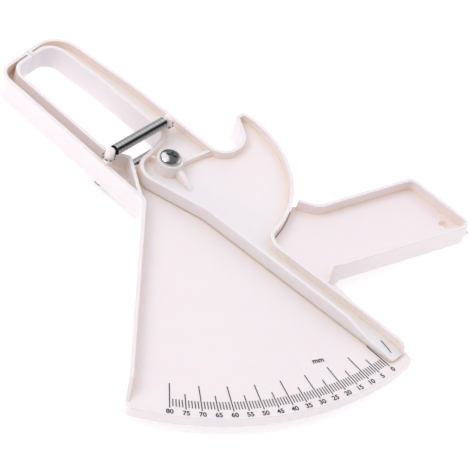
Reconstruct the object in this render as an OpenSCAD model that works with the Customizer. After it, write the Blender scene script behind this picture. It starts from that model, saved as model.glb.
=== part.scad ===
// Skinfold caliper with one fixed body (left jaw, scale sector and pistol grip), one sprung
// moving arm (right jaw, trigger hook and pointer), a pivot screw and two tension springs.
// Drawn with the jaws closed. X runs from the fixed jaw to the moving jaw, +Y from the
// pivot to the jaws, +Z out of the scale side. All lengths are in millimetres.

/* [Jaws] */
// Distance from the pivot to the outer end of the jaws
jaw_top = 105.5; // [100:0.5:112]
// Depth of the contact pads along the jaws
pad_depth = 5.3; // [4:0.1:8]
// Gap left between the closed contact pads
pad_gap = 0.1; // [0.1:0.05:0.5]

/* [Walls] */
// Height of the moulded walls
wall_h = 15; // [13:0.5:18]
// Thickness of walls and floors
wall_t = 2.2; // [1.8:0.1:2.6]
// Top of the fixed body's floor, which carries the scale
scale_z = 6.5; // [6:0.1:7]
// Top of the moving arm's floor
tray_z = 10.5; // [10:0.1:11.5]
// Running gap between the scale face and the arm above it
arm_gap = 0.7; // [0.5:0.1:1]

/* [Scale sector] */
// Outer radius of the sector about the pivot
fan_r = 174.3; // [170:0.1:178]
// Direction of the sector's left wall, in degrees from +X
fan_left_dir = -142.7; // [-145:0.1:-141]
// Radius of the pointer's tip about the pivot
tip_r = 168.6; // [165:0.1:170]

/* [Grip] */
// X of the grip's far end
grip_end = 102.6; // [95:0.1:108]
// Slope of the grip's long walls, in degrees
grip_dir = -19; // [-21:0.5:-17]
// Radius of the wrist-strap hole
strap_r = 2.5; // [2:0.1:3]

/* [Trigger] */
// Radius of the trigger's round outer edge
hook_r = 62.6; // [61:0.1:63.5]
// Travel of the arm from closed to fully open, in degrees
open_angle = 46; // [40:1:47]

/* [Pivot] */
// Radius of the pivot screw's shank
pin_r = 2.5; // [2:0.1:3]
// Radial running clearance of the bores on the shank
pin_play = 0.05; // [0.02:0.01:0.1]
// Radius of the boss under the screw head
boss_r = 7; // [6:0.1:7.5]
// Height of the boss's top face
boss_z = 18.2; // [17:0.5:19]
// Radius of the screw head
head_r = 6; // [5.5:0.1:6.8]

/* [Springs] */
// Diameter of the spring wire
wire_d = 0.6; // [0.5:0.05:0.65]
// Outer diameter of each spring
coil_d = 6.4; // [6:0.1:6.6]
// Curls of each spring, drawn open enough to part
curls = 36; // [30:1:36]
// Height of the front spring's axis above the foot of the walls
spring_z = 22; // [21.8:0.1:22.4]
// Radius of the spring posts
post_r = 2.6; // [2.2:0.1:2.8]
// Height of the front posts' tips above the foot of the walls
post_top = 25; // [24.5:0.1:26]
// How far the rear posts reach below the foot of the walls
rear_reach = 7; // [6.9:0.1:9]

/* [Hidden] */
ivory = [0.95, 0.92, 0.89];
steel = [0.72, 0.73, 0.75];
eps = 0.01;
arc_step = 6;                          // degrees between the points of a rounded corner
rear_spring_z = -coil_d / 2 - 0.3;      // the rear spring passes just under the walls
arm_foot = scale_z + arm_gap;          // underside of the arm where it passes over the scale
floor_foot = scale_z - wall_t;         // underside of the fixed body's floor
tray_foot = tray_z - wall_t;           // underside of the arm's floor
coil_r = (coil_d - wire_d) / 2;
loop_r = post_r + wire_d / 2 + 0.55;    // the loops hang loosely on the posts
disc_r = 15.5;                         // round plate of the fixed body under the arm's hub
skirt_r = disc_r + 1.2;                // the arm's deep walls stay outside this radius
sweep_r = 70;                          // the fixed body is open inside this radius for the trigger
skirt_dir = -25;                       // the trigger's wall is deep down to this direction
post_a = [-27.3, 21.9];                // spring post on the fixed jaw
post_b = [17.9, 17.9];                 // spring post on the moving jaw

// ---- outline helpers -------------------------------------------------------------------

function unit(v) = v / norm(v);
function left_of(v) = [-v.y, v.x];
function polar(r, a) = [r * cos(a), r * sin(a)];
function arc(c, r, a0, a1, n) = [for (i = [0 : n]) c + polar(r, a0 + (a1 - a0) * i / n)];

// Points of the fillet of radius r at corner b between a and c
function fillet(a, b, c, r) =
    let (u = unit(a - b), v = unit(c - b),
         half = acos(max(-1, min(1, u * v))) / 2,
         back = r / tan(half),
         m = b + unit(u + v) * r / sin(half),
         p = b + u * back - m,
         turn = sign(left_of(u) * v) * -1 * (180 - 2 * half),
         n = max(1, ceil(abs(turn) / arc_step)),
         a0 = atan2(p.y, p.x))
    [for (i = [0 : n]) m + polar(r, a0 + turn * i / n)];

// Outline from corners [x, y] or [x, y, radius]
function rounded(q) = [
    for (i = [0 : len(q) - 1])
        let (b = [q[i].x, q[i].y],
             a = q[(i + len(q) - 1) % len(q)], c = q[(i + 1) % len(q)],
             r = len(q[i]) > 2 ? q[i][2] : 0)
        each r > 0 ? fillet([a.x, a.y], b, [c.x, c.y], r) : [b]];

// The same line moved to its left by t, with mitred corners
function shifted(p, t, closed = true) =
    let (n = len(p))
    [for (i = [0 : n - 1])
        let (a = closed ? p[(i + n - 1) % n] : p[max(0, i - 1)],
             c = closed ? p[(i + 1) % n] : p[min(n - 1, i + 1)],
             u = closed || i > 0 ? unit(p[i] - a) : unit(c - p[i]),
             v = closed || i < n - 1 ? unit(c - p[i]) : u,
             m = unit(left_of(u) + left_of(v)))
        p[i] + m * t / max(0.3, m * left_of(u))];

function reversed(p) = [for (i = [len(p) - 1 : -1 : 0]) p[i]];

// Wall of thickness t along the left side of an open line
module wall(p, t = wall_t) polygon(concat(p, reversed(shifted(p, t, false))));

// Wall of thickness t inside a closed outline
module ring(p, t = wall_t) difference() {
    polygon(p);
    polygon(shifted(p, t));
}

module slab(z0, z1) translate([0, 0, z0]) linear_extrude(z1 - z0) children();

// Side profile given in Y and Z, extruded from x0 to x1
module side_slab(x0, x1) translate([x0, 0, 0]) rotate([90, 0, 90]) linear_extrude(x1 - x0) children();

// ---- outline of the fixed body ---------------------------------------------------------

jaw_in = jaw_top - pad_depth;
left_pad_x = -pad_gap / 2;
jaw_foot = [-33, -8.7];                                   // jaw wall meets the sector's wall
fan_left_u = polar(1, fan_left_dir);
fan_left_reach = -(jaw_foot * fan_left_u)
    + sqrt(pow(jaw_foot * fan_left_u, 2) + fan_r * fan_r - jaw_foot * jaw_foot);
fan_left_end = jaw_foot + fan_left_u * fan_left_reach;    // left wall meets the round edge
fan_left_angle = atan2(fan_left_end.y, fan_left_end.x);
fan_right_x = 4;
fan_right_angle = -acos(fan_right_x / fan_r);
grip_u = polar(1, grip_dir);
grip_low = [12.8, -107.6];                                // lower grip wall meets the sector
grip_low_end = grip_low + grip_u * (grip_end - grip_low.x) / grip_u.x;
grip_top = [43.1, -73];                                   // upper grip wall bends to its end
grip_top_end = grip_top + grip_u * (grip_end - grip_top.x) / grip_u.x;
grip_start = [37.4, -63.2];
guard = [-15.9, 12.6];                                    // bend of the wall beside the hub
fork = [-13.6, 16.4];
jaw_bend = [-20.3, 28];

outer_corners = [[left_pad_x, jaw_top], [-25.2, jaw_top, 10], [jaw_foot.x, jaw_foot.y, 5]];
inner_corners = [fork, [jaw_bend.x, jaw_bend.y, 6], [-15.7, jaw_in, 7.5],
                 [left_pad_x, jaw_in]];
grip_corners = [[grip_low.x, grip_low.y, 4], [grip_low_end.x, grip_low_end.y, 5],
                [grip_top_end.x, grip_top_end.y, 6], [grip_top.x, grip_top.y, 9],
                [grip_start.x, grip_start.y]];

fixed_outline = rounded(concat(
    outer_corners,
    [[fan_left_end.x, fan_left_end.y, 3.5]],
    arc([0, 0], fan_r, fan_left_angle + 2, fan_right_angle - 1.4, 24),
    [[fan_right_x, fan_r * sin(fan_right_angle), 3]],
    grip_corners,
    arc([0, 0], sweep_r + 3, -62, -74, 4),
    [polar(disc_r + 12, -74)],
    arc([0, 0], disc_r, -62, 118, 24),
    inner_corners));

centre_x = (min([for (p = fixed_outline) p.x]) + max([for (p = fixed_outline) p.x])) / 2;
centre_y = (min([for (p = fixed_outline) p.y]) + max([for (p = fixed_outline) p.y])) / 2;

echo(pivot_from_origin = [-centre_x, -centre_y, rear_reach]);

// Every sub-part is drawn about the pivot, then moved so that the origin is
// under the middle of the whole caliper and nothing reaches below it
module place() translate([-centre_x, -centre_y, rear_reach]) children();

sector_right = [fan_right_x, fan_r * sin(fan_right_angle)];
low_run = unit(sector_right - grip_low) * 7;              // the grip's wall runs this far down
fan_left_wall_end = fan_left_end - fan_left_u * 1.5;

// The tall walls of the fixed body, seen from above
module fixed_walls() {
    wall(rounded([[left_pad_x, jaw_top], outer_corners[1], outer_corners[2], fan_left_wall_end]));
    wall(rounded(inner_corners));
    wall(rounded([[-30.6, -6.6], [guard.x, guard.y, 4], fork]));
    wall(rounded(concat([grip_low + low_run], grip_corners)));
    translate([left_pad_x - wall_t, jaw_in]) square([wall_t, pad_depth]);
}

// ---- outline of the moving arm ---------------------------------------------------------

hub_c = [-6.4, 0];                       // the hub's round wall is not centred on the pivot
hub_wall_r = 12.2;
hook_c = [2, -8];                        // centre of the trigger's round edge
right_wall = [[1.6, hook_c.y - hook_r - 0.6], [3.4, -tip_r]];

arm_outline = rounded(concat(
    [[pad_gap / 2, jaw_in], [15.4, jaw_in, 9], [16.6, 66, 60], [14.6, 15.2, 7]],
    arc(hub_c, hub_wall_r, 84, 190, 16),
    [[-10.6, -36, 30], [-9.9, -tip_r + 0.2, 2.5], [right_wall[1].x, right_wall[1].y, 2.5],
     [right_wall[0].x, right_wall[0].y, 9]],
    arc(hook_c, hook_r, -82, -1, 18),
    [[63.6, -1.4, 3.2], [57.2, -0.7, 2.4], [47.2, -16, 12], [28.6, -15.9, 9.5],
     [29.3, 50, 60], [25.4, jaw_top, 17], [pad_gap / 2, jaw_top]]));

// ---- sub-parts -------------------------------------------------------------------------

module spring_post(at, z_floor, z_tip, z_wire) {
    // a plain post with a waist for the wire's loop and a domed tip
    dir = sign(z_tip - z_floor);
    translate([at.x, at.y, 0]) rotate_extrude($fn = 32) polygon(concat(
        [[0, z_floor - dir * 0.5], [post_r + 0.5, z_floor - dir * 0.5], [post_r + 0.5, z_floor + dir * 0.5],
         [post_r, z_floor + dir * 1.2], [post_r, z_wire - dir * 0.5], [post_r - 0.25, z_wire],
         [post_r, z_wire + dir * 0.5]],
        [for (a = [0 : 15 : 90]) [post_r * cos(a), z_tip - dir * post_r * 0.6 * (1 - sin(a))]]));
}

strap_at = [94.2, -124.4];               // hole for a wrist strap near the end of the grip

module scale_body() color(ivory) place() difference() {
    union() {
        slab(0, floor_foot) ring(fixed_outline);
        slab(floor_foot, scale_z) polygon(fixed_outline);
        slab(scale_z, wall_h) fixed_walls();
        cylinder(r = boss_r, h = arm_foot - 0.1, $fn = 64);
        spring_post(post_a, scale_z, post_top, spring_z - coil_r);
        spring_post(post_a, floor_foot, -rear_reach, rear_spring_z + coil_r);
    }
    fan_wall_ramp();
    grip_wall_ramp();
    translate([0, 0, -1]) cylinder(r = pin_r + pin_play, h = 30, $fn = 48);
    translate([strap_at.x, strap_at.y, -1]) cylinder(r = strap_r, h = wall_h, $fn = 48);
}

// Sloping end of the grip's lower wall
module grip_wall_ramp() translate([grip_low.x, grip_low.y, scale_z]) rotate([0, 0, -94 + 180])
    side_slab(-5, 5) polygon([[-8, 0], [-6, 0], [1.5, wall_h - scale_z + eps], [-8, wall_h - scale_z + eps]]);

// Sloping end of the sector's left wall
module fan_wall_ramp() translate([fan_left_end.x, fan_left_end.y, scale_z]) rotate([0, 0, fan_left_dir])
    rotate([90, 0, 0]) translate([0, 0, -6]) linear_extrude(12)
        polygon([[-14, wall_h - scale_z + eps], [-4, 0], [6, 0], [6, 12], [-14, 12]]);

module trigger_arm() color(ivory) place() difference() {
    union() {
        slab(tray_foot, tray_z) polygon(arm_outline);
        slab(arm_foot, wall_h) ring(arm_outline);
        deep_walls();
        tongue();
        translate([0, 0, arm_foot]) cylinder(r = boss_r, h = boss_z - arm_foot, $fn = 64);
        hub_ribs();
        spring_post(post_b, tray_z, post_top, spring_z - coil_r);
        spring_post(post_b, tray_foot, -rear_reach, rear_spring_z + coil_r);
    }
    tip_cuts();
    translate([0, 0, arm_foot - 1]) cylinder(r = pin_r + pin_play, h = 30, $fn = 48);
}

// The jaw, notch and trigger walls are as deep as the fixed body's, where they clear it
module deep_walls() slab(0, tray_foot + eps) difference() {
    intersection() {
        ring(arm_outline);
        polygon([polar(12, 100), polar(12, skirt_dir), polar(90, skirt_dir), [90, jaw_top + 1],
                 [-1, jaw_top + 1], [-1, 40]]);
    }
    circle(r = skirt_r, $fn = 64);
}

// The pointer's floor rolls down to the scale
function tongue_line(n) = [for (i = [0 : n])
    [-151 - (tip_r - 151) * sin(90 * i / n), arm_foot + 0.6 + (tray_z - arm_foot - 0.6) * cos(90 * i / n)]];

module tongue() intersection() {
    slab(arm_foot, tray_z) polygon(arm_outline);
    side_slab(-12, 5) polygon(concat([[-148, arm_foot], [-148, tray_z]], tongue_line(8), [[-tip_r, arm_foot]]));
}

module tip_cuts() {
    // left wall and end: down to the tongue
    side_slab(-12, right_wall[1].x - wall_t - 0.2) polygon(concat(
        [[-134, wall_h + eps]], tongue_line(8), [[-tip_r - 5, arm_foot + 0.6], [-tip_r - 5, wall_h + 1], [-134, wall_h + 1]]));
    // right wall: a round end
    side_slab(right_wall[1].x - wall_t - 0.2, 8) polygon(concat(
        [for (a = [90 : 10 : 180]) [-tip_r + 7.2 + 7.4 * cos(a), arm_foot + 0.6 + (wall_h - arm_foot - 0.6 + eps) * sin(a)]],
        [[-tip_r - 5, arm_foot + 0.6], [-tip_r - 5, wall_h + 1], [-tip_r + 7.2, wall_h + 1]]));
}

module rib(from, to, t, z0, z1) {
    d = unit(to - from);
    s = left_of(d) * t / 2;
    slab(z0, z1) polygon([from - s, to - s, to + s, from + s]);
}

module hub_ribs() {
    rib([0, 0], [-3.6, 11.4], 1.8, tray_foot, wall_h - 1);
    rib([0, 0], [27.4, -9], 1.8, tray_foot, tray_z + 2.2);
    // gusset that falls away from the boss along the pointer
    gusset_len = 19;
    translate([0.4, 0, 0]) rotate([0, 0, -98]) rotate([90, 0, 0]) translate([0, 0, -1])
        linear_extrude(2) polygon([[0, tray_foot], [gusset_len, tray_foot], [gusset_len, tray_z], [boss_r - 1, tray_z + 5], [0, tray_z + 5]]);
}

module pivot_screw() color(steel) place() difference() {
    union() {
        translate([0, 0, -5.6]) cylinder(r = pin_r, h = boss_z + 0.1 + 5.6 + eps, $fn = 48);
        // low domed head
        translate([0, 0, boss_z + 0.1]) rotate_extrude($fn = 64) polygon(concat(
            [[0, 0], [head_r, 0], [head_r, 0.6]],
            [for (a = [10 : 10 : 90]) [head_r * cos(a), 0.6 + 1.9 * sin(a)]]));
    }
    // cross recess
    for (a = [0, 90]) rotate([0, 0, a + 25]) translate([-3, -0.55, boss_z + 1]) cube([6, 1.1, 4]);
}

module pivot_washer() color(steel) place() translate([0, 0, -0.8]) difference() {
    cylinder(r = 5, h = 0.8, $fn = 48);
    translate([0, 0, -1]) cylinder(r = pin_r + 0.15, h = 3, $fn = 48);
}

module pivot_nut() color(steel) place() translate([0, 0, -4.8]) difference() {
    cylinder(r = 4 / cos(30), h = 4, $fn = 6);
    translate([0, 0, -1]) cylinder(r = pin_r, h = 6, $fn = 48);
}

// ---- springs ---------------------------------------------------------------------------

span = norm(post_b - post_a);
spring_u = unit(post_b - post_a);
pitch = (span - 2 * loop_r) / curls;

// Centre line in the spring's own frame: X from post to post, Z up. The loops lie in the plane
// that touches the foot of the coil, so each runs straight on into its first curl.
spring_line = concat(
    [for (i = [0 : 14]) concat(polar(loop_r, 45 + 21 * i), -coil_r)],
    [for (i = [0 : 8 * curls])
        [loop_r + pitch * i / 8, coil_r * sin(45 * i), -coil_r * cos(45 * i)]],
    [for (i = [1 : 15]) concat([span, 0] + polar(loop_r, 180 - 21 * i), -coil_r)]);

ring_sides = 6;
helix_from = 15;
helix_to = helix_from + 8 * curls;

function tangent(p, i) = unit(p[min(i + 1, len(p) - 1)] - p[max(i - 1, 0)]);
function across(t, ref) = unit(ref - t * (ref * t));
function ring_points(p, i) =
    let (t = tangent(p, i),
         // the rings turn from the loops' up direction to the coil's axis and back
         swing = 90 * max(0, min(1, min(i - helix_from + 4, helix_to + 4 - i) / 8)),
         ref = [sin(swing), 0, cos(swing)],
         b = across(t, ref), n = cross(t, b))
    [for (k = [0 : ring_sides - 1]) p[i] + wire_d / 2 * (b * cos(60 * k) + n * sin(60 * k))];

// Wire along the points of p from number i0 to number i1
module wire_tube(p, i0, i1) {
    n = i1 - i0 + 1;
    pts = [for (i = [i0 : i1]) each ring_points(p, i)];
    quads = [for (i = [0 : n - 2], k = [0 : ring_sides - 1])
        let (a = i * ring_sides + k, b = i * ring_sides + (k + 1) % ring_sides)
        each [[a, b, b + ring_sides], [a, b + ring_sides, a + ring_sides]]];
    caps = [for (k = [1 : ring_sides - 2]) each
        [[0, k + 1, k], [(n - 1) * ring_sides, (n - 1) * ring_sides + k, (n - 1) * ring_sides + k + 1]]];
    polyhedron(pts, concat(quads, caps));
}

// Least gap of the wire to itself, over points at least half a curl apart
least_gap = min([for (i = [0 : len(spring_line) - 6])
    min([for (j = [i + 5 : min(i + 24, len(spring_line) - 1)]) norm(spring_line[i] - spring_line[j])])]) - wire_d;
echo(spring_least_gap = least_gap);

// The hook at the moving post is a node of its own, because it moves away from the coil's
// first hook as the spring stretches; the two meet face to face and are one wire
module spring(flip, i0, i1) rotate([0, 0, atan2(spring_u.y, spring_u.x)])
    rotate([flip, 0, 0]) wire_tube(spring_line, i0, i1);

module at_front() color(steel) place() translate([post_a.x, post_a.y, spring_z]) children();
module at_rear() color(steel) place() translate([post_a.x, post_a.y, rear_spring_z]) children();

module front_spring() at_front() spring(0, 0, helix_to);
module front_spring_hook() at_front() spring(0, helix_to, len(spring_line) - 1);
module rear_spring() at_rear() spring(180, 0, helix_to);
module rear_spring_hook() at_rear() spring(180, helix_to, len(spring_line) - 1);

scale_body();
trigger_arm();
pivot_screw();
pivot_washer();
pivot_nut();
front_spring();
front_spring_hook();
rear_spring();
rear_spring_hook();
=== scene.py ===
"""Looks of the skinfold caliper: ivory plastic, bright steel, tight springs and the printed scale.

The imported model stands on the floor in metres, with the jaws closed. Everything that this
script adds is laid out about the pivot, in millimetres, and turned into metres by mm().
"""

import math

import bmesh
import bpy
from mathutils import Matrix, Vector
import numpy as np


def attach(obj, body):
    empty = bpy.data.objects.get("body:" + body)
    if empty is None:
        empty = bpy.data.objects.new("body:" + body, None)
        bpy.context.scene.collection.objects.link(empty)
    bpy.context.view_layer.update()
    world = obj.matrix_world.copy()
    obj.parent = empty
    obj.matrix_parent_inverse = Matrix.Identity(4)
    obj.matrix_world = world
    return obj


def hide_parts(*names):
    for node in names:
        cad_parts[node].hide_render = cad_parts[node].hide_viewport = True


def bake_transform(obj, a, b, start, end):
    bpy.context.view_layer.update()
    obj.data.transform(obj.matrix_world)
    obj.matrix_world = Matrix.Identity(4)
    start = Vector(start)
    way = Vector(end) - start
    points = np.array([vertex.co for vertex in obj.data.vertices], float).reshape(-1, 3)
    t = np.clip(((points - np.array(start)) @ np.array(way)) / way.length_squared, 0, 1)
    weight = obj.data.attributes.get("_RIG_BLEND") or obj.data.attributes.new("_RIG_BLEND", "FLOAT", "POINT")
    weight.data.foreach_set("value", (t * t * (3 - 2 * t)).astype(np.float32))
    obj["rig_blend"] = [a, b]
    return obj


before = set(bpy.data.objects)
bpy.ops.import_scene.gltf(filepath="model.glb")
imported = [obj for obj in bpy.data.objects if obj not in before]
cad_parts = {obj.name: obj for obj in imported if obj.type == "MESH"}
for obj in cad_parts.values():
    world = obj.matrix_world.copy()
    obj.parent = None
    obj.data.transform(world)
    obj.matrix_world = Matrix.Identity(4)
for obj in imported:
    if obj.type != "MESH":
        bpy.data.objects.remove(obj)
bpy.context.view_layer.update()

# ---- where things are ------------------------------------------------------------------

PIVOT = Vector((21.1677, 34.3999, 7.0))  # pivot axis at the foot of the walls, in mm
SCALE_Z = 6.5  # top of the scale's face
TRAY_Z = 10.5  # top of the moving arm's floor
POST_A, POST_B = Vector((-27.3, 21.9, 0)), Vector((17.9, 17.9, 0))
FRONT_SPRING_Z, REAR_SPRING_Z = 22.0, -3.5


def mm(x, y, z):
    """A point given about the pivot in millimetres, in the frame's metres."""
    return (Vector((x, y, z)) + PIVOT) / 1000


def mesh_piece(name, points, faces, material, body=None):
    """A new piece from points in millimetres about the pivot."""
    mesh = bpy.data.meshes.new(name)
    mesh.from_pydata([mm(*p) for p in points], [], faces)
    mesh.materials.append(material)
    mesh.validate()
    piece = bpy.data.objects.new(name, mesh)
    bpy.context.collection.objects.link(piece)
    if body:
        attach(piece, body)
    return piece


# ---- materials -------------------------------------------------------------------------


def material(name, **sockets):
    """A new node material with the given socket values on its shader."""
    m = bpy.data.materials.new(name)
    m.use_nodes = True
    shader = m.node_tree.nodes["Principled BSDF"]
    for socket, value in sockets.items():
        shader.inputs[socket.replace("_", " ")].default_value = value
    return m, m.node_tree, shader


def ivory_plastic():
    """Moulded, slightly translucent ivory plastic, with a warm painted shade in its hollows and
    corners, soft at its edges, with faint flow marks and a fine grain."""
    m, tree, shader = material(
        "ivory_plastic",
        Roughness=0.36,
        IOR=1.5,
        Subsurface_Weight=0.3,
        Subsurface_Radius=(1.0, 0.42, 0.22),
        Subsurface_Scale=0.006,
    )
    nodes, links = tree.nodes, tree.links
    place = nodes.new("ShaderNodeTexCoord")
    clouds = nodes.new("ShaderNodeTexNoise")
    clouds.inputs["Scale"].default_value = 14
    clouds.inputs["Detail"].default_value = 3
    tint = nodes.new("ShaderNodeMixRGB")
    tint.inputs["Color1"].default_value = (0.832, 0.772, 0.818, 1)
    tint.inputs["Color2"].default_value = (0.857, 0.800, 0.828, 1)
    links.new(place.outputs["Object"], clouds.inputs["Vector"])
    links.new(clouds.outputs["Fac"], tint.inputs["Fac"])
    # painted shade: where ambient occlusion finds a hollow or corner, the base colour turns warmer and
    # darker
    hollow = nodes.new("ShaderNodeAmbientOcclusion")
    hollow.samples = 8
    hollow.inputs["Distance"].default_value = 0.006
    corner_shade_mask = nodes.new("ShaderNodeMapRange")
    corner_shade_mask.inputs["From Min"].default_value = 0.15
    corner_shade_mask.inputs["From Max"].default_value = 0.95
    painted_corner_shade = nodes.new("ShaderNodeMixRGB")
    painted_corner_shade.inputs["Color1"].default_value = (0.930, 0.805, 0.690, 1)
    links.new(hollow.outputs["AO"], corner_shade_mask.inputs["Value"])
    links.new(corner_shade_mask.outputs["Result"], painted_corner_shade.inputs["Fac"])
    links.new(tint.outputs["Color"], painted_corner_shade.inputs["Color2"])
    links.new(painted_corner_shade.outputs["Color"], shader.inputs["Base Color"])
    grain = nodes.new("ShaderNodeTexNoise")
    grain.inputs["Scale"].default_value = 900
    bump = nodes.new("ShaderNodeBump")
    bump.inputs["Strength"].default_value = 0.04
    bump.inputs["Distance"].default_value = 0.0002
    links.new(place.outputs["Object"], grain.inputs["Vector"])
    links.new(grain.outputs["Fac"], bump.inputs["Height"])
    edges = nodes.new("ShaderNodeBevel")
    edges.samples = 4
    edges.inputs["Radius"].default_value = 0.0005
    links.new(edges.outputs["Normal"], bump.inputs["Normal"])
    links.new(bump.outputs["Normal"], shader.inputs["Normal"])
    return m


def bright_steel(name, roughness, bright_side, tones):
    """Polished steel with faint wear, whose base colour holds a painted reflection: tones that follow a
    direction or the mesh's stored painted light.
    """
    m, tree, shader = material(name, Metallic=1.0, Roughness=roughness)
    nodes, links = tree.nodes, tree.links
    place = nodes.new("ShaderNodeTexCoord")
    wear = nodes.new("ShaderNodeTexNoise")
    wear.inputs["Scale"].default_value = 300
    wear.inputs["Detail"].default_value = 4
    shade = nodes.new("ShaderNodeMixRGB")
    shade.blend_type = "MULTIPLY"
    shade.inputs["Color2"].default_value = (0.82, 0.82, 0.84, 1)
    links.new(place.outputs["Object"], wear.inputs["Vector"])
    links.new(wear.outputs["Fac"], shade.inputs["Fac"])
    # painted reflection: the tones of a bright room and a dark one, painted into the base colour by the way
    # that the surface faces, or read from the mesh
    if bright_side:
        surface = nodes.new("ShaderNodeNewGeometry")
        facing = nodes.new("ShaderNodeVectorMath")
        facing.operation = "DOT_PRODUCT"
        facing.inputs[1].default_value = bright_side
        links.new(surface.outputs["Normal"], facing.inputs[0])
        amount = facing.outputs["Value"]
    else:
        shine = nodes.new("ShaderNodeAttribute")
        shine.attribute_name = "shine"
        amount = shine.outputs["Fac"]
    ramp = nodes.new("ShaderNodeValToRGB")
    for _ in tones[2:]:
        ramp.color_ramp.elements.new(0.5)
    for stop, (at, tone) in zip(ramp.color_ramp.elements, tones):
        stop.position, stop.color = at, (tone, tone, tone * 1.02, 1)
    links.new(amount, ramp.inputs["Fac"])
    links.new(ramp.outputs["Color"], shade.inputs["Color1"])
    links.new(shade.outputs["Color"], shader.inputs["Base Color"])
    return m


plastic = ivory_plastic()
# painted reflection on the screw, washer and nut: dark and bright bands by the way that each point faces
screw_steel = bright_steel(
    "screw_steel", 0.14, (-0.36, 0.20, 0.91),
    ((0.0, 0.5), (0.55, 0.62), (0.80, 0.10), (0.935, 0.16), (0.965, 0.95), (1.0, 1.0)))
# painted reflection and painted crease shade on the springs, read from each point's stored painted light
wire_steel = bright_steel("wire_steel", 0.3, None, ((0.0, 0.01), (1.0, 1.0)))
ink = material("scale_ink", Base_Color=(0.012, 0.012, 0.014, 1), Roughness=0.45)[0]

for node in ("pivot_screw", "pivot_washer", "pivot_nut"):
    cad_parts[node].data.materials.clear()
    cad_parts[node].data.materials.append(screw_steel)

# ---- mouldings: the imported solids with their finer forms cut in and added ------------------


def solid(points, faces):
    """A closed helper solid from points in millimetres about the pivot."""
    mesh = bpy.data.meshes.new("form")
    mesh.from_pydata([mm(*p) for p in points], [], faces)
    mesh.materials.append(plastic)
    form = bmesh.new()
    form.from_mesh(mesh)
    bmesh.ops.recalc_face_normals(form, faces=form.faces)
    form.to_mesh(mesh)
    form.free()
    piece = bpy.data.objects.new("form", mesh)
    bpy.context.collection.objects.link(piece)
    return piece


def prism(ring0, ring1):
    """A form between two rings of points, which stand for its two flat ends."""
    n = len(ring0)
    faces = [tuple(range(n)), tuple(range(n, 2 * n))]
    faces += [(i, (i + 1) % n, (i + 1) % n + n, i + n) for i in range(n)]
    return solid(list(ring0) + list(ring1), faces)


def plate(outline, z0, z1):
    """A flat form over an outline seen from above."""
    return prism([(x, y, z0) for x, y in outline], [(x, y, z1) for x, y in outline])


def fin(at, direction, profile, right, left):
    """A form whose side profile, given as distance and height, runs from a point in a direction."""
    a = math.radians(direction)
    along, side = Vector((math.cos(a), math.sin(a))), Vector((-math.sin(a), math.cos(a)))
    rings = []
    for off in (-right, left):
        line = [Vector(at) + along * s + side * off for s, z in profile]
        rings.append([(p.x, p.y, z) for p, (s, z) in zip(line, profile)])
    return prism(*rings)


def circle(at, r, start, end, steps):
    """Points of an arc, from one direction to another in degrees."""
    turns = [math.radians(start + (end - start) * i / steps) for i in range(steps + 1)]
    return [(at[0] + r * math.cos(a), at[1] + r * math.sin(a)) for a in turns]


def carve(piece, operation, tool):
    """Cuts the tool from the piece, or adds it, and uses the tool up."""
    change = piece.modifiers.new("carve", "BOOLEAN")
    change.operation, change.object, change.solver = operation, tool, "EXACT"
    bpy.context.view_layer.update()
    made = piece.evaluated_get(bpy.context.evaluated_depsgraph_get())
    mesh = bpy.data.meshes.new_from_object(made)
    piece.modifiers.clear()
    piece.data = mesh
    bpy.data.objects.remove(tool)


def moulding(name, node):
    """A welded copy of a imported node, ready to be carved."""
    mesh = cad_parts[node].data.copy()
    for layer in [a for a in mesh.attributes if a.name == "custom_normal"]:
        mesh.attributes.remove(layer)
    mesh.materials.clear()
    mesh.materials.append(plastic)
    form = bmesh.new()
    form.from_mesh(mesh)
    bmesh.ops.remove_doubles(form, verts=form.verts, dist=1e-6)
    bmesh.ops.recalc_face_normals(form, faces=form.faces)
    form.to_mesh(mesh)
    form.free()
    piece = bpy.data.objects.new(name, mesh)
    bpy.context.collection.objects.link(piece)
    return piece


def finish_moulding(piece, node, body):
    """Shades the carved copy, lets it ride its body and hides the node that it stands for."""
    piece.data.shade_smooth()
    piece.data.set_sharp_from_angle(angle=math.radians(24))
    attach(piece, body)
    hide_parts(node)


STRAP_HOLE = (94.2, -124.4)
GRIP_CORNER = (16.12, -112.97)  # middle of the round corner below the grip
GRIP_FLOOR_Z = SCALE_Z + 2.2  # top of the grip's raised floor
GRIP_FOOT_Z = 2  # underside of the grip's walls
WALL_TOP_Z = 15.0  # rim of the frame's walls
BITE = 0.2  # how deep an added form sits in what carries it
REAR_POST_END_Z = -2.2  # the rear posts end here, just past the springs' loops
BOSS_R, SLEEVE_R, BOSS_TOP_Z = 6.8, 7.5, 18.2
POINTER_LEFT_X = -4  # the pointer's left wall lies beyond this
LEAN, LEAN_TOP_Y, LEAN_LENGTH = 1.4, -36, 132.4  # how far that wall leans, and along which stretch


def shorten_rear_post(piece, post):
    """Ends a rear post just past the loop of its spring."""
    carve(piece, "DIFFERENCE", plate(circle(post, 4, 0, 330, 11), -8, REAR_POST_END_Z))


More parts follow.
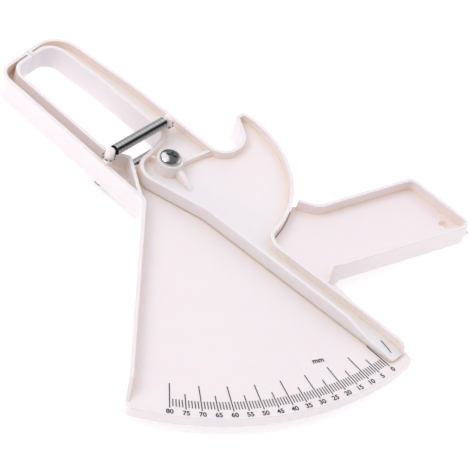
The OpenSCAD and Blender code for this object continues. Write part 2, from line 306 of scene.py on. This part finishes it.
def make_frame_moulding():
    """The frame with its grip, fixed jaw and sector, carved from a copy of scale_body."""
    piece = moulding("frame_moulding", "scale_body")
    # the grip's floor lies above the scale, and its walls end above the frame's underside
    floor = plate(
        [(3.5, -80), (4.0, -106.5), (12.2, -112.6), (13.4, -109.5), (20, -109.2), (101.5, -137.2),
         (101.6, -92.5), (43.2, -74.3), (38.4, -64.4)] + circle((0, 0), 71.4, -60, -87, 12),
        SCALE_Z - BITE, GRIP_FLOOR_Z)
    carve(floor, "DIFFERENCE", plate(circle(STRAP_HOLE, 2.53, 0, 352.5, 47), 5, 10))
    carve(piece, "UNION", floor)
    grip = [(18.5, -125), (20, -104), (45, -84), (45, -60), (110, -60), (110, -150), (40, -150)]
    carve(piece, "DIFFERENCE", plate(grip, -1, GRIP_FOOT_Z))
    # the end of the grip's lower wall runs round the corner and slopes down to the scale
    wall_end = (
        [(22.0, -110.77)] + circle(GRIP_CORNER, 4.01, 71, 172.5, 12) + [(11.9, -114.43), (9.73, -114.14)]
        + circle(GRIP_CORNER, 6.19, 172.5, 71, 12) + [(22.7, -108.71)]
    )
    carve(piece, "UNION", plate(wall_end, SCALE_Z - BITE, WALL_TOP_Z - 0.01))
    slope = [(0.1, WALL_TOP_Z + 0.01), (6.6, SCALE_Z), (9.3, SCALE_Z), (9.3, 18), (0.1, 18)]
    carve(piece, "DIFFERENCE", fin((15.75, -107.3), -121.3, slope, 4.4, 4.7))
    shorten_rear_post(piece, POST_A)
    # the web beside the trigger's arc
    web = circle((0, 0), 69, -61.5, -74, 6) + circle((0, 0), 74, -74, -61.5, 6)
    carve(piece, "UNION", plate(web, 4.32, SCALE_Z - 0.01))
    finish_moulding(piece, "scale_body", "fixed_body")


def make_arm_moulding():
    """The arm with its jaw, trigger and pointer, carved from a copy of trigger_arm."""
    piece = moulding("arm_moulding", "trigger_arm")
    # the pointer's left wall leans in, so that its tip leaves the first mark bare
    for v in piece.data.vertices:
        x, y = v.co.x * 1000 - PIVOT.x, v.co.y * 1000 - PIVOT.y
        if x < POINTER_LEFT_X and y < LEAN_TOP_Y:
            v.co.x += LEAN * (LEAN_TOP_Y - y) / LEAN_LENGTH / 1000
    # a collar round the boss, the rib to the notch's corner and the gusset toward the pointer
    foot = TRAY_Z - BITE
    sleeve = plate(circle((0, 0), SLEEVE_R, 0, 354, 59), foot, BOSS_TOP_Z - 0.01)
    carve(sleeve, "DIFFERENCE", plate(circle((0, 0), BOSS_R, 0, 354, 59), 8, 20))
    carve(piece, "UNION", sleeve)
    rib = [(BOSS_R, foot), (28, foot), (28, 13.7), (BOSS_R, 14.2)]
    carve(piece, "UNION", fin((0, -2.6), -10.9, rib, 0.9, 0.9))
    gusset = [(6, foot), (20, foot), (19.2, 11.0), (12.5, 14.2), (10.5, 15.0), (8, 15.5), (6, 15.6)]
    carve(piece, "UNION", fin((0.4, 0), -98, gusset, 1.5, 1.5))
    shorten_rear_post(piece, POST_B)
    finish_moulding(piece, "trigger_arm", "moving_arm")


make_frame_moulding()
make_arm_moulding()

# ---- springs ---------------------------------------------------------------------------

WIRE_R = 0.35
COIL_R = 2.80
LOOP_R = 3.45  # of the hook round a post
CURLS = 46
STEPS = 24  # points in one curl
HOOK_STEPS = 30  # points in one hook
HOOK_START, HOOK_TURN = 50, 310  # where the hook starts and how far it goes round, in degrees
SIDES = 8
PAINTED_CREASE_SHADE = 0.12  # painted shade: how bright the wire stays between two curls


def spring_line(span):
    """The wire's centre line from post to post along X, in one wire with closed curls."""
    loop = [math.radians(HOOK_START + HOOK_TURN * i / HOOK_STEPS) for i in range(HOOK_STEPS)]
    line = [(LOOP_R * math.cos(a), LOOP_R * math.sin(a), -COIL_R) for a in loop]
    pitch = (span - 2 * LOOP_R) / CURLS
    for i in range(CURLS * STEPS + 1):
        a = 2 * math.pi * i / STEPS
        line.append((LOOP_R + pitch * i / STEPS, COIL_R * math.sin(a), -COIL_R * math.cos(a)))
    line += [(span - x, -y, z) for x, y, z in reversed(line[:HOOK_STEPS])]
    return [Vector(p) for p in line]


def wire_tube(line, radius, sides):
    """Points and faces of a round wire along the line."""
    points, faces = [], []
    side = Vector((0, 0, 1))
    for i, p in enumerate(line):
        along = (line[min(i + 1, len(line) - 1)] - line[max(i - 1, 0)]).normalized()
        side = (side - along * side.dot(along)).normalized()
        other = along.cross(side)
        for k in range(sides):
            a = 2 * math.pi * k / sides
            points.append(p + radius * (side * math.cos(a) + other * math.sin(a)))
    for i in range(len(line) - 1):
        for k in range(sides):
            a, b = i * sides + k, i * sides + (k + 1) % sides
            faces.append((a, b, b + sides, a + sides))
    faces.append(tuple(reversed(range(sides))))
    faces.append(tuple(range((len(line) - 1) * sides, len(line) * sides)))
    return points, faces


# Painted reflection: bands of light and dark round a coil, as (turn from its upper front in quarters, tone)
PAINTED_REFLECTION_BANDS = ((-2.0, 0.1), (-1.1, 0.35), (-0.8, 0.95), (-0.42, 0.75), (-0.28, 0.03), (-0.06, 0.03), (0.06, 0.95),
         (0.38, 1.0), (0.46, 0.3), (0.58, 0.85), (0.8, 0.5), (1.0, 0.1), (2.0, 0.1))
CURL_CHANGE = 2.4  # how fast the painted reflection's brightness changes from curl to curl
COIL_FRONT, COIL_BACK = Vector((-0.037, -0.41, 0.911)), Vector((0.08, 0.907, 0.41))


def band(turn):
    """The tone at a turn round the coil, between the two bands that it lies among."""
    for (t0, v0), (t1, v1) in zip(PAINTED_REFLECTION_BANDS, PAINTED_REFLECTION_BANDS[1:]):
        if turn <= t1:
            return v0 + (v1 - v0) * (turn - t0) / (t1 - t0)
    return PAINTED_REFLECTION_BANDS[-1][1]


def add_shine(mesh, line, offsets, turn, sides):
    """Stores the painted light of each point of the wire: a painted reflection banded round the coil, and
    painted shade between curls.
    """
    layer = mesh.attributes.new("shine", "FLOAT", "POINT")
    values = []
    for i, p in enumerate(line):
        out = turn @ Vector((0, p.y, p.z)).normalized()
        coil = HOOK_STEPS <= i < len(line) - HOOK_STEPS
        if coil:
            tone = band(math.atan2(out.dot(COIL_BACK), out.dot(COIL_FRONT)) / (math.pi / 2))
            tone *= 0.86 + 0.22 * math.sin(CURL_CHANGE * ((i - HOOK_STEPS) // STEPS))
        else:
            tone = 0.95 if i % 4 < 2 else 0.04  # painted reflection: the hook's tone alternates light and dark
        for off in offsets[i * sides : (i + 1) * sides]:
            # painted shade: the wire darkens where it turns away from the coil's outside, into the crease
            # between curls
            rise = (turn @ off).normalized().dot(out if coil else COIL_FRONT)
            values.append(tone * (PAINTED_CREASE_SHADE + (1 - PAINTED_CREASE_SHADE) * max(0.0, rise) ** 1.3))
    layer.data.foreach_set("value", values)


def spring(name, z, flip, near, far):
    """One wire spring that stretches between the bodies of its two hooks."""
    along = POST_B - POST_A
    turn = Matrix.Rotation(math.atan2(along.y, along.x), 3, "Z")
    if flip:
        turn = turn @ Matrix.Rotation(math.pi, 3, "X")
    line = spring_line(along.length)
    points, faces = wire_tube(line, WIRE_R, SIDES)
    offsets = [p - line[i // SIDES] for i, p in enumerate(points)]
    foot = POST_A + Vector((0, 0, z))
    piece = mesh_piece(name, [foot + turn @ p for p in points], faces, wire_steel)
    for face in piece.data.polygons:
        face.use_smooth = True
    add_shine(piece.data, line, offsets, turn, SIDES)
    reach = along.normalized() * LOOP_R
    start, end = POST_A + reach, POST_B - reach
    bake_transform(piece, near, far, start=mm(start.x, start.y, z), end=mm(end.x, end.y, z))
    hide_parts(near, near + "_hook")


spring("front_coil", FRONT_SPRING_Z, False, "front_spring", "front_spring_end")
spring("rear_coil", REAR_SPRING_Z, True, "rear_spring", "rear_spring_end")

# ---- printed scale ---------------------------------------------------------------------

JAW_REACH = 103.0
ZERO_MARK = math.radians(-93.4)
INK_T = 0.04  # thickness of the print
# inner radius, outer radius and width of the marks, by the step that they count
MARKS = {10: (152.0, 169.0, 0.6), 5: (158.4, 169.0, 0.6), 1: (162.6, 167.8, 0.55)}
NUMBER_R, NUMBER_HEIGHT, NUMBER_WEIGHT = 171.6, 3.0, 0.11
UNIT_AT, UNIT_TURN = Vector((-38.4, -141.0)), math.radians(-25.5)
UNIT_HEIGHT, UNIT_WEIGHT = 3.3, 0.13
DIGIT_SHARE = 0.73  # height of a digit as a share of the font's size
TONGUE_Y, TONGUE_LENGTH, TONGUE_END_Z = -151, 17.6, 7.8  # where the pointer's tongue rolls down
INDEX_X, INDEX_Y, INDEX_LENGTH, INDEX_STEPS = -3.0, -155.6, 8.9, 10


def mark_angle(value):
    """Direction of a mark about the pivot: the arm's turn that opens the jaws by value mm."""
    return ZERO_MARK - 2 * math.asin(value / (2 * JAW_REACH))


def printed_marks():
    """All the marks from 0 to 80 mm as one thin piece of ink."""
    points, faces = [], []
    for value in range(81):
        a = mark_angle(value)
        inner, outer, width = next(MARKS[step] for step in MARKS if value % step == 0)
        along = Vector((math.cos(a), math.sin(a), 0))
        side = Vector((-along.y, along.x, 0)) * width / 2
        base = len(points)
        for z in (SCALE_Z, SCALE_Z + INK_T):
            for r, s in ((inner, -1), (outer, -1), (outer, 1), (inner, 1)):
                points.append(along * r + side * s + Vector((0, 0, z)))
        box = ((0, 3, 2, 1), (4, 5, 6, 7), (0, 1, 5, 4), (1, 2, 6, 5), (2, 3, 7, 6), (3, 0, 4, 7))
        faces += [tuple(base + k for k in face) for face in box]
    mesh_piece("scale_marks", points, faces, ink, "fixed_body")


def printed_text(name, text, at, turn, height, body, weight=0.0):
    """Flat lettering on the scale's face, centred on the point at, its foot along the turn."""
    curve = bpy.data.curves.new(name, "FONT")
    curve.body = text
    curve.align_x, curve.align_y = "CENTER", "CENTER"
    curve.size = height / 1000 / DIGIT_SHARE
    curve.offset = weight / 1000
    curve.extrude = INK_T / 2000
    words = bpy.data.objects.new(name, curve)
    bpy.context.collection.objects.link(words)
    bpy.context.view_layer.update()
    mesh = bpy.data.meshes.new_from_object(words)
    bpy.data.objects.remove(words)
    mesh.materials.clear()
    mesh.materials.append(ink)
    piece = bpy.data.objects.new(name, mesh)
    place = Matrix.Translation(mm(at.x, at.y, SCALE_Z + INK_T / 2))
    piece.matrix_world = place @ Matrix.Rotation(turn, 4, "Z")
    bpy.context.collection.objects.link(piece)
    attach(piece, body)
    return piece


def printed_numbers():
    """A number below every fifth mark, upright to its radius."""
    for value in range(0, 81, 5):
        a = mark_angle(value)
        at = Vector((math.cos(a), math.sin(a), 0)) * NUMBER_R
        turn = a + math.pi / 2
        printed_text(f"number_{value}", str(value), at, turn, NUMBER_HEIGHT, "fixed_body", NUMBER_WEIGHT)


def tongue_z(y):
    """Height of the pointer's tongue, which rolls down to the scale."""
    rise = math.sqrt(max(0.0, 1 - ((TONGUE_Y - y) / TONGUE_LENGTH) ** 2))
    return TONGUE_END_Z + (TRAY_Z - TONGUE_END_Z) * rise


def index_line():
    """The printed line on the pointer's tongue that is read against the marks."""
    points, faces = [], []
    for i in range(INDEX_STEPS + 1):
        t = i / INDEX_STEPS
        y = INDEX_Y - INDEX_LENGTH * t
        x = INDEX_X - 1.1 * t - 0.5 * t * t
        for dx in (-0.28, 0.28):
            for dz in (0.01, 0.05):
                points.append((x + dx, y, tongue_z(y) + dz))
    for i in range(INDEX_STEPS):
        a, b = 4 * i, 4 * i + 4
        faces += [(a + 1, a + 3, b + 3, b + 1), (a, b, b + 2, a + 2)]
        faces += [(a, a + 1, b + 1, b), (a + 2, b + 2, b + 3, a + 3)]
    end = 4 * INDEX_STEPS
    faces += [(0, 2, 3, 1), (end, end + 1, end + 3, end + 2)]
    mesh_piece("index_line", points, faces, ink, "moving_arm")


printed_marks()
printed_numbers()
printed_text("unit", "mm", UNIT_AT, UNIT_TURN, UNIT_HEIGHT, "fixed_body", UNIT_WEIGHT)
index_line()

# ---- floor, light and camera -----------------------------------------------------------


def make_floor():
    """A wide white floor that glows a little, so that it stays white under the model."""
    bpy.ops.mesh.primitive_plane_add(size=12, location=(0, 0, -0.0005))
    floor = bpy.context.object
    floor.name = "floor"
    white = material("floor", Base_Color=(0.95, 0.95, 0.95, 1), Roughness=0.9)
    white[2].inputs["Emission Color"].default_value = (1, 1, 1, 1)
    white[2].inputs["Emission Strength"].default_value = 0.33
    floor.data.materials.append(white[0])


def area_light(name, place, aim, size, power):
    """A round soft light, with places and size in metres and power in watts."""
    light = bpy.data.lights.new(name, "AREA")
    light.shape, light.size, light.energy = "DISK", size, power
    lamp = bpy.data.objects.new(name, light)
    lamp.location = place
    lamp.rotation_euler = (Vector(aim) - Vector(place)).to_track_quat("-Z", "Y").to_euler()
    bpy.context.collection.objects.link(lamp)


def sky(strength):
    """Soft light from all round, brighter from one side."""
    world = bpy.data.worlds.new("sky")
    bpy.context.scene.world = world
    world.use_nodes = True
    back = world.node_tree.nodes["Background"]
    back.inputs["Strength"].default_value = strength
    # a bright side and a dim side, which the bright steel mirrors
    nodes, links = world.node_tree.nodes, world.node_tree.links
    place = nodes.new("ShaderNodeTexCoord")
    side = nodes.new("ShaderNodeVectorMath")
    side.operation = "DOT_PRODUCT"
    side.inputs[1].default_value = (0.78, 0.32, 0.54)
    spread = nodes.new("ShaderNodeMapRange")
    spread.inputs["From Min"].default_value = -1
    ramp = nodes.new("ShaderNodeValToRGB")
    stops = ((0.0, 0.52), (0.50, 0.56), (0.66, 0.80), (1.0, 0.95))
    ramp.color_ramp.elements.new(0.5)
    ramp.color_ramp.elements.new(0.6)
    for stop, (at, tone) in zip(ramp.color_ramp.elements, stops):
        stop.position, stop.color = at, (tone, tone, tone, 1)
    links.new(place.outputs["Generated"], side.inputs[0])
    links.new(side.outputs["Value"], spread.inputs["Value"])
    links.new(spread.outputs["Result"], ramp.inputs["Fac"])
    links.new(ramp.outputs["Color"], back.inputs["Color"])


make_floor()
sky(1.0)
area_light("key", (-0.9, 0.9, 1.6), (0, 0, 0), 1.2, 12)
area_light("fill", (1.4, -0.6, 1.2), (0, 0, 0), 1.4, 4)
area_light("front", (-1.9, 0.1, 0.8), (0, 0, 0), 1.8, 3.2)
bpy.context.scene.view_settings.view_transform = "Standard"

# The photograph's camera: where it looks, from which side, how far off and how it leans
CAMERA_TARGET = Vector((16.646, -19.711, 13.5)) / 1000
CAMERA_AZIMUTH = math.radians(-64.294)  # its viewing direction, turned from +Y about +Z
CAMERA_ELEVATION = math.radians(45.271)
CAMERA_ROLL = math.radians(19.230)
CAMERA_DISTANCE = 2.7056
CAMERA_LENS = 382.98  # on a 36 mm sensor


def make_camera():
    """The camera that sees the model as the photograph does."""
    data = bpy.data.cameras.new("camera")
    data.lens, data.sensor_width, data.sensor_fit = CAMERA_LENS, 36, "HORIZONTAL"
    data.clip_start, data.clip_end = 0.05, 50
    data.dof.use_dof = False
    camera = bpy.data.objects.new("camera", data)
    aim = (
        Matrix.Rotation(CAMERA_AZIMUTH, 4, "Z")
        @ Matrix.Rotation(math.pi / 2 - CAMERA_ELEVATION, 4, "X")
        @ Matrix.Rotation(CAMERA_ROLL, 4, "Z")
    )
    back = aim.to_3x3() @ Vector((0, 0, CAMERA_DISTANCE))
    camera.matrix_world = Matrix.Translation(CAMERA_TARGET + back) @ aim
    bpy.context.collection.objects.link(camera)
    bpy.context.scene.camera = camera


make_camera()
